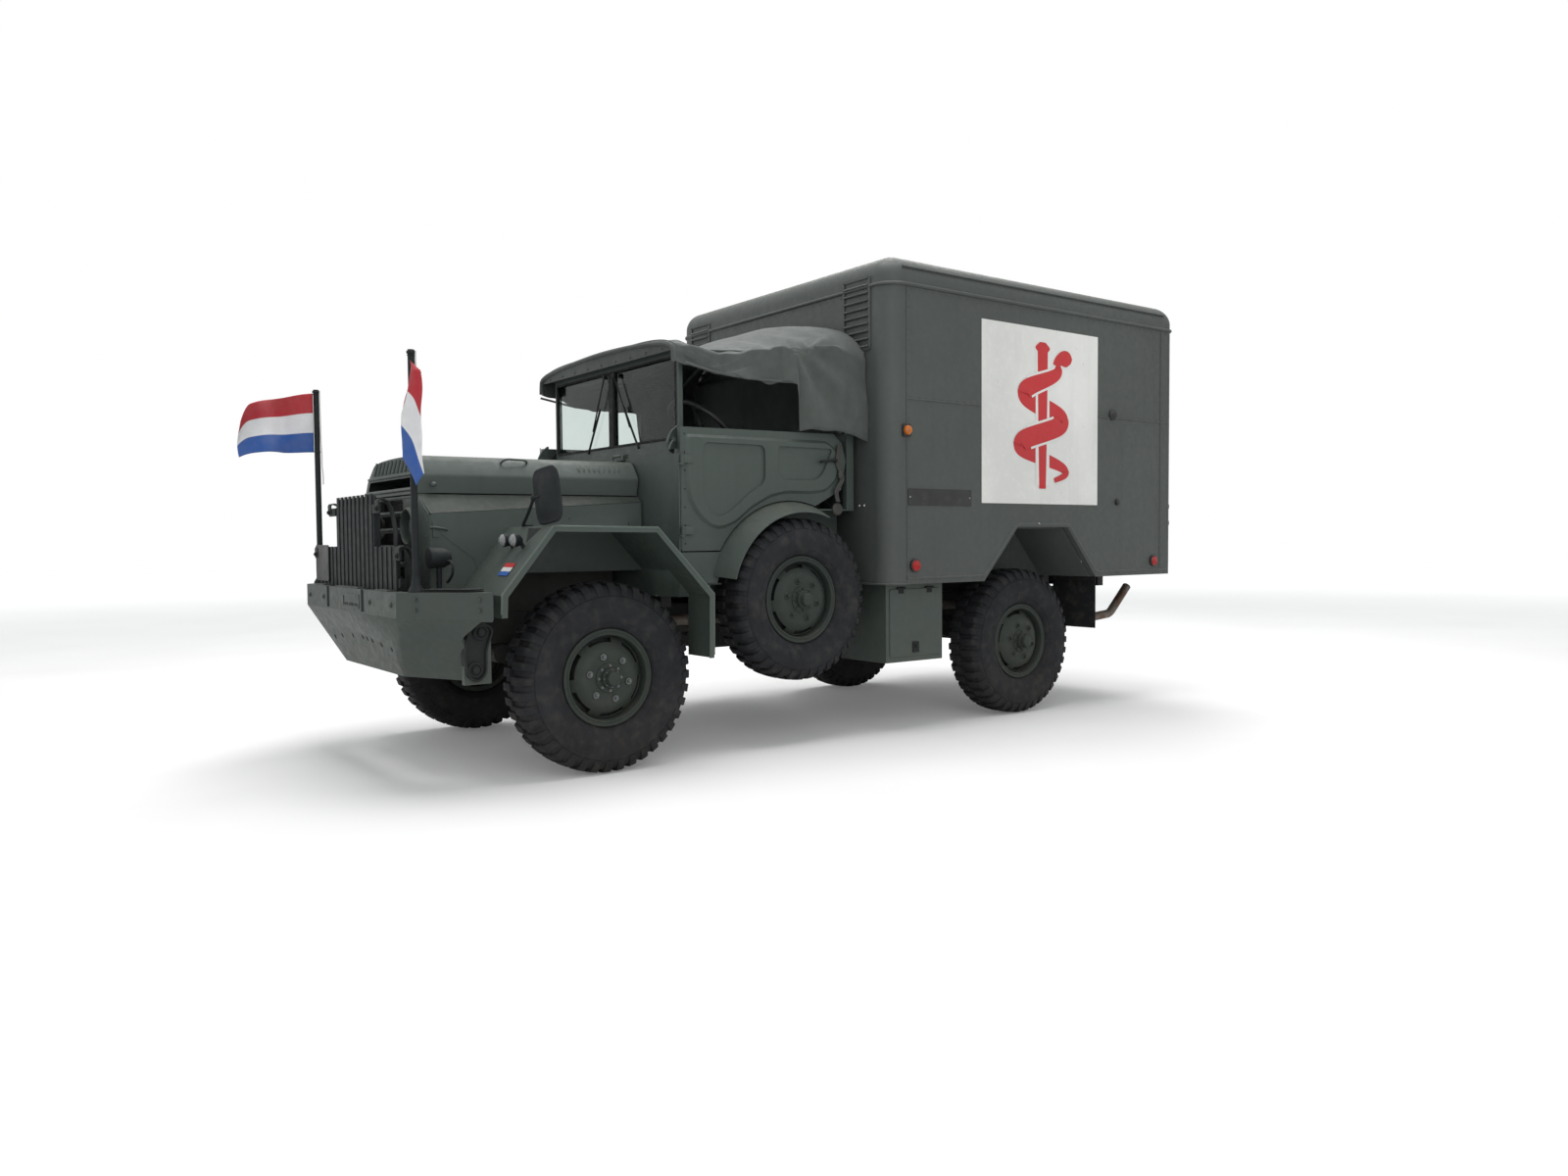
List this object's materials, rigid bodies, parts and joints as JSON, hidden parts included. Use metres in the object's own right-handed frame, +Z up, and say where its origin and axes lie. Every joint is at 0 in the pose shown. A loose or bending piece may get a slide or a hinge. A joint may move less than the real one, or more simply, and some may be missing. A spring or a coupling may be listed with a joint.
{
  "type": "military ambulance truck",
  "caption": "Four-wheel-drive military ambulance truck with bonnet, canvas-topped cab, half doors, side-carried spare wheels and closed box body with rear doors",
  "frame": {"origin": "on the ground, under the middle of the overall box", "axes": "+Z up, front faces -Y, the truck's left is +X"},
  "size_m": [2.1, 5.41, 2.5999],
  "materials": {
    "body_paint": "satin olive paint",
    "box_paint": "satin olive paint, slightly browner",
    "chassis_paint": "dull black-green paint",
    "engine_iron": "painted iron",
    "tyre": "matt",
    "canvas": "weathered canvas",
    "cushion": "coated seat cloth",
    "glass": "clear",
    "lamp_glass": "clear lamp glass",
    "mirror": "silvered",
    "flag_cloth": "red, white and blue stripes",
    "pipe_steel": "sooty",
    "black_plastic": "matt black",
    "flap_rubber": "matt"
  },
  "bodies": {
    "truck": {"chassis_frame": "chassis_paint", "engine_block": "engine_iron", "drivetrain": "engine_iron", "front_axle": "chassis_paint", "rear_axle": "chassis_paint", "spare_carrier": "chassis_paint", "front_bumper": "body_paint", "brush_guard": "body_paint", "grille_panel": "body_paint", "headlamps": "lamp_glass", "front_fender_left": "body_paint", "front_fender_right": "body_paint", "cab_body": "body_paint", "windscreen_frame": "body_paint", "windscreen_glass": "glass", "seat_frames": "chassis_paint", "seat_cushions": "cushion", "seat_backs": "cushion", "cab_canvas": "canvas", "canvas_hoops": "chassis_paint", "box_front": "box_paint", "box_side_left": "box_paint", "box_side_right": "box_paint", "box_roof": "box_paint", "box_floor": "box_paint", "box_rear_frame": "box_paint", "rear_step": "box_paint", "mudflaps": "flap_rubber", "exhaust_pipe": "pipe_steel", "fuel_tank": "chassis_paint", "side_lockers": "box_paint", "stretcher_racks": "box_paint", "mirrors": "mirror", "flag_poles": "body_paint", "flag_left": "flag_cloth", "flag_right": "flag_cloth"},
    "steer_left": {"knuckle_left": "chassis_paint"},
    "steer_right": {"knuckle_right": "chassis_paint"},
    "steering_wheel": {"steering_wheel": "black_plastic"},
    "bonnet": {"bonnet": "body_paint"},
    "door_left": {"door_left": "body_paint"},
    "door_right": {"door_right": "body_paint"},
    "rear_door_left": {"rear_door_left": "box_paint"},
    "rear_door_right": {"rear_door_right": "box_paint"},
    "front_wheel_left": {"wheel_front_left": "body_paint", "tyre_front_left": "tyre"},
    "front_wheel_right": {"wheel_front_right": "body_paint", "tyre_front_right": "tyre"},
    "rear_wheel_left": {"wheel_rear_left": "body_paint", "tyre_rear_left": "tyre"},
    "rear_wheel_right": {"wheel_rear_right": "body_paint", "tyre_rear_right": "tyre"},
    "spare_wheel_left": {"wheel_spare_left": "body_paint", "tyre_spare_left": "tyre"},
    "spare_wheel_right": {"wheel_spare_right": "body_paint", "tyre_spare_right": "tyre"}
  },
  "joints": [
    {"name": "steer_left", "type": "hinge", "parent": "truck", "child": "steer_left", "pos_m": [0.72, -1.485, 0.445], "axis": [0, 0, 1], "range_deg": [-27, 27]},
    {"name": "steer_right", "type": "hinge", "parent": "truck", "child": "steer_right", "pos_m": [-0.72, -1.485, 0.445], "axis": [0, 0, 1], "range_deg": [-27, 27]},
    {"name": "front_wheel_left_spin", "type": "hinge", "parent": "steer_left", "child": "front_wheel_left", "pos_m": [0.79, -1.485, 0.445], "axis": [1, 0, 0], "continuous": true},
    {"name": "front_wheel_right_spin", "type": "hinge", "parent": "steer_right", "child": "front_wheel_right", "pos_m": [-0.79, -1.485, 0.445], "axis": [1, 0, 0], "continuous": true},
    {"name": "rear_wheel_left_spin", "type": "hinge", "parent": "truck", "child": "rear_wheel_left", "pos_m": [0.79, 1.345, 0.445], "axis": [1, 0, 0], "continuous": true},
    {"name": "rear_wheel_right_spin", "type": "hinge", "parent": "truck", "child": "rear_wheel_right", "pos_m": [-0.79, 1.345, 0.445], "axis": [1, 0, 0], "continuous": true},
    {"name": "spare_wheel_left_spin", "type": "hinge", "parent": "truck", "child": "spare_wheel_left", "pos_m": [0.8, -0.36, 0.765], "axis": [1, 0, 0], "continuous": true},
    {"name": "spare_wheel_right_spin", "type": "hinge", "parent": "truck", "child": "spare_wheel_right", "pos_m": [-0.8, -0.36, 0.765], "axis": [1, 0, 0], "continuous": true},
    {"name": "steering_wheel_turn", "type": "hinge", "parent": "truck", "child": "steering_wheel", "pos_m": [0.4, -0.665, 1.655], "axis": [0, 0.666, 0.746], "range_deg": [-540, 540]},
    {"name": "bonnet_lift", "type": "hinge", "parent": "truck", "child": "bonnet", "pos_m": [0, -1.105, 1.515], "axis": [-1, 0, 0], "range_deg": [0, 60]},
    {"name": "door_left_open", "type": "hinge", "parent": "truck", "child": "door_left", "pos_m": [0.812, -1.03, 1.3], "axis": [0, 0, -1], "range_deg": [0, 75]},
    {"name": "rear_door_left_open", "type": "hinge", "parent": "truck", "child": "rear_door_left", "pos_m": [0.946, 2.679, 1.65], "axis": [0, 0, -1], "range_deg": [0, 180]},
    {"name": "door_right_open", "type": "hinge", "parent": "truck", "child": "door_right", "pos_m": [-0.812, -1.03, 1.3], "axis": [0, 0, 1], "range_deg": [0, 75]},
    {"name": "rear_door_right_open", "type": "hinge", "parent": "truck", "child": "rear_door_right", "pos_m": [-0.946, 2.679, 1.65], "axis": [0, 0, 1], "range_deg": [0, 180]}
  ],
  "couplings": [
    {"joint": "steer_right", "follows": "steer_left", "ratio": 1},
    {"joint": "steering_wheel_turn", "follows": "steer_left", "ratio": 20}
  ]
}
